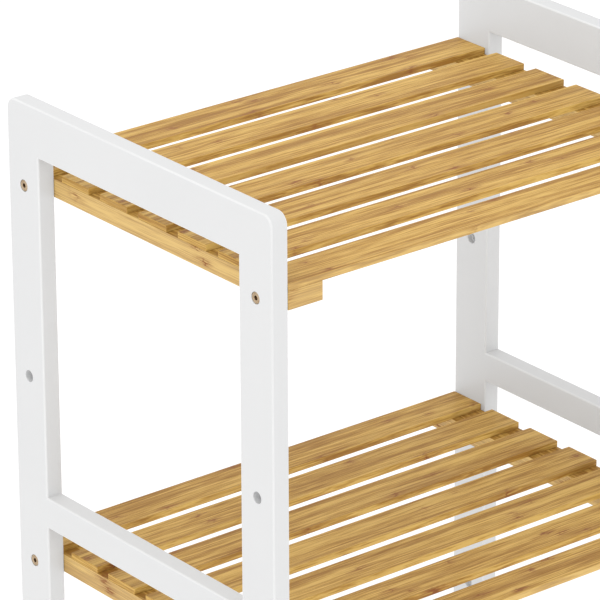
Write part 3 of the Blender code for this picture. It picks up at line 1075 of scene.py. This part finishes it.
@dataclass
class Fixings:
    """One tier's four socket-head bolts and the threaded inserts that they run into."""

    level: Level
    shop: Workshop
    head_length: float = 0.006
    head_easing: float = 0.0005
    shank_radius: float = 0.003
    socket_across_flats: float = 0.0034
    socket_depth: float = 0.003
    socket_chamfer: float = 0.0002
    ring: tuple[float, float] = (0.00285, 0.00345)
    ring_depth: float = 0.00025
    thread_pitch: float = 0.001
    thread_depth: float = 0.00045
    thread_length: float = 0.0155
    crest_below_shank: float = 0.00008
    bore_radius: float = 0.0033
    grip_pitch: float = 0.0024
    grip_depth: float = 0.0004
    collar: float = 0.0045
    facets: int = 48

    def head_profile(self, radius: float) -> list[tuple[float, float]]:
        """Return the outline of the head, from its ringed top face over its rounded rim to the shank."""
        inner, outer = self.ring
        steps = 5
        easing = self.head_easing
        turns = [math.pi / 2 * step / steps for step in range(steps + 1)]
        rim = [(easing * (1 - math.cos(turn)), radius - easing * (1 - math.sin(turn))) for turn in turns]
        return [(0.0, 0.0), (0.0, inner), (self.ring_depth, inner + self.ring_depth),
                (self.ring_depth, outer - self.ring_depth), (0.0, outer), *rim,
                (self.head_length, radius), (self.head_length, self.shank_radius)]

    def bolt_mesh(self, extent: Extent) -> Mesh:
        """Return a bolt along +X from its head's top face at the origin.

        Args:
            extent: the CAD bolt's box.

        Returns:
            The bolt's mesh.
        """
        length, radius = extent.size.x, extent.size.y / 2
        thread_start = length - self.thread_length
        profile = self.head_profile(radius)
        plain_end = thread_start + self.thread_pitch
        body = turned(profile + [(plain_end, self.shank_radius), (plain_end, 0.0)], self.facets)
        crest = self.shank_radius - self.crest_below_shank
        thread = threaded(thread_start, length, crest, self.thread_depth, self.thread_pitch,
                          self.facets // 2)
        solid = reopened(combined(body, [thread], "UNION"))
        return combined(solid, [self.socket_cutter()], "DIFFERENCE")

    def socket_cutter(self) -> Form:
        """Return the hexagon socket's cutter, with a conical lead-in."""
        corner = self.socket_across_flats / math.sqrt(3)
        bm = bmesh.new()
        bmesh.ops.create_cone(bm, cap_ends=True, segments=6, radius1=corner + self.socket_chamfer,
                              radius2=corner, depth=self.socket_chamfer)
        bmesh.ops.translate(bm, vec=(0, 0, self.socket_chamfer / 2), verts=bm.verts)
        mouth = min(bm.faces, key=lambda face: face.calc_center_median().z)
        floor = max(bm.faces, key=lambda face: face.calc_center_median().z)
        deeper = self.socket_depth - self.socket_chamfer
        for face, shift in ((mouth, -self.socket_chamfer), (floor, deeper)):
            grown = bmesh.ops.extrude_face_region(bm, geom=[face])
            corners = [item for item in grown["geom"] if isinstance(item, bmesh.types.BMVert)]
            bmesh.ops.translate(bm, vec=(0, 0, shift), verts=corners)
            bmesh.ops.delete(bm, geom=[face], context="FACES_ONLY")
        return moved(bm, Vector((0, 0, 0)), Euler((0, math.pi / 2, 0)))

    def insert_mesh(self, extent: Extent) -> Mesh:
        """Return a threaded insert along +X from its plain collar at the origin.

        Args:
            extent: the CAD insert's box.

        Returns:
            The insert's mesh.
        """
        length, radius = extent.size.x, extent.size.y / 2
        collar = turned([(0.0, 0.0), (0.0, radius - self.grip_depth), (self.grip_depth, radius),
                         (self.collar, radius), (self.collar, 0.0)], self.facets)
        grip = threaded(self.collar / 2, length, radius, self.grip_depth, self.grip_pitch,
                        self.facets // 2)
        solid = reopened(combined(collar, [grip], "UNION"))
        end = length + OVERCUT
        bore = turned([(-OVERCUT, 0.0), (-OVERCUT, self.bore_radius), (end, self.bore_radius),
                       (end, 0.0)], self.facets)
        return combined(solid, [bore], "DIFFERENCE")

    def build(self) -> None:
        """Build the tier's bolts and inserts."""
        first = f"{self.level}_left_front"
        patterns = {
            "bolt": (Slot.BRONZE, self.bolt_mesh(Extent.of(f"{first}_bolt"))),
            "insert": (Slot.ZINC, self.insert_mesh(Extent.of(f"{first}_insert"))),
        }
        for side in Side:
            for end in End:
                for part, (slot, pattern) in patterns.items():
                    node = f"{self.level}_{side}_{end}_{part}"
                    extent = Extent.of(node)
                    start = Vector((side.outer_x(extent), extent.centre.y, extent.centre.z))
                    mesh = pattern.copy()
                    mesh.transform(Matrix.Translation(start) @ side.inwards.to_matrix().to_4x4())
                    self.shop.deliver(mesh, slot, node, "turned", drilled=True)


# ---------- studio
@dataclass
class Studio:
    """A pale floor, soft light and the camera, set off the front left corner of the bench."""

    floor_reach: float = 14.0
    floor_colours: tuple[Colour, Colour] = ((0.60, 0.60, 0.60), (0.64, 0.64, 0.64))
    sky_strength: float = 0.93
    horizon_strength: float = 1.06
    horizon_reach: tuple[float, float] = (0.12, 0.34)
    floor_glow: float = 0.50
    eye: Vector = field(default_factory=lambda: Vector((-2.1592, -2.6136, 1.8266)))
    heading: float = 38.53
    pitch: float = 22.793
    roll: float = -0.278
    lens: float = 283.5
    target: Vector = field(default_factory=lambda: Vector((0, 0, 0.325)))

    def lay_floor(self) -> None:
        """Lay a wide pale floor under the bench."""
        bm = bmesh.new()
        bmesh.ops.create_circle(bm, cap_ends=True, radius=self.floor_reach, segments=96)
        mesh = bpy.data.meshes.new("floor")
        bm.to_mesh(mesh)
        bm.free()
        sheet = ShaderSheet("floor_paper")
        faint = sheet.noise(sheet.place(), 0.6, 2.0)
        sheet.feed(sheet.shader.inputs["Base Color"],
                   sheet.mix(sheet.remap(faint, (0.3, 0.7)), *self.floor_colours))
        sheet.set(Roughness=0.9, Specular_IOR_Level=0.1, Emission_Color=(1.0, 1.0, 1.0),
                  Emission_Strength=self.floor_glow)
        mesh.materials.append(sheet.material)
        floor = put("floor", mesh)

    def light(self) -> None:
        """Light the bench with a white sky and three wide soft panels."""
        self.raise_sky()
        bpy.context.scene.view_settings.view_transform = "Standard"
        for name, place, size, power in (
            ("left_panel", Vector((-3.4, -0.6, 1.275)), 2.4, 5.0),
            ("front_panel", Vector((0.4, -3.4, 1.275)), 2.4, 4.5),
            ("top_panel", Vector((-0.75, -0.2, 2.375)), 1.5, 9.0),
        ):
            data = bpy.data.lights.new(name, "AREA")
            data.size = size
            data.energy = power
            panel = put(name, data)
            panel.location = place
            panel.rotation_euler = (self.target - place).to_track_quat("-Z", "Y").to_euler()

    def raise_sky(self) -> None:
        """Make the sky: white, and a little brighter near the horizon than overhead."""
        world = bpy.data.worlds.new("white_room")
        world.use_nodes = True
        nodes, links = world.node_tree.nodes, world.node_tree.links
        background = nodes["Background"]
        background.inputs["Color"].default_value = (1.0, 1.0, 1.0, 1.0)
        direction = nodes.new("ShaderNodeTexCoord")
        parts = nodes.new("ShaderNodeSeparateXYZ")
        fade = nodes.new("ShaderNodeMapRange")
        fade.interpolation_type = "SMOOTHSTEP"
        fade.inputs["From Min"].default_value, fade.inputs["From Max"].default_value = self.horizon_reach
        fade.inputs["To Min"].default_value = self.horizon_strength
        fade.inputs["To Max"].default_value = self.sky_strength
        links.new(direction.outputs["Generated"], parts.inputs[0])
        links.new(parts.outputs["Z"], fade.inputs["Value"])
        links.new(fade.outputs[0], background.inputs["Strength"])
        bpy.context.scene.world = world

    def set_camera(self) -> None:
        """Place the camera: it looks down past the near corner of the left frame."""
        data = bpy.data.cameras.new("camera")
        data.sensor_width = 36.0
        data.lens = self.lens
        data.clip_end = 60.0
        camera = put("camera", data)
        yaw, tilt = math.radians(self.heading), math.radians(self.pitch)
        ahead = Vector((math.sin(yaw), math.cos(yaw), 0.0)) * math.cos(tilt)
        level = (ahead - Vector((0, 0, math.sin(tilt)))).to_track_quat("-Z", "Y").to_matrix()
        camera.rotation_euler = (level @ Matrix.Rotation(math.radians(self.roll), 3, "Z")).to_euler()
        camera.location = self.eye
        bpy.context.scene.camera = camera

    def build(self) -> None:
        """Set up the whole studio."""
        self.lay_floor()
        self.light()
        self.set_camera()


def main() -> None:
    """Build the bench, one sub-assembly after another."""
    logging.basicConfig(level=logging.INFO, format="%(message)s")
    Studio().build()
    shop = Workshop()
    shop.prepare()
    for side in Side:
        SideFrame(side, shop).build()
        DowelSet(side, shop).build()
    for level in Level:
        Tier(level, shop).build()
        Fixings(level, shop).build()


if __name__ == "__main__":
    main()
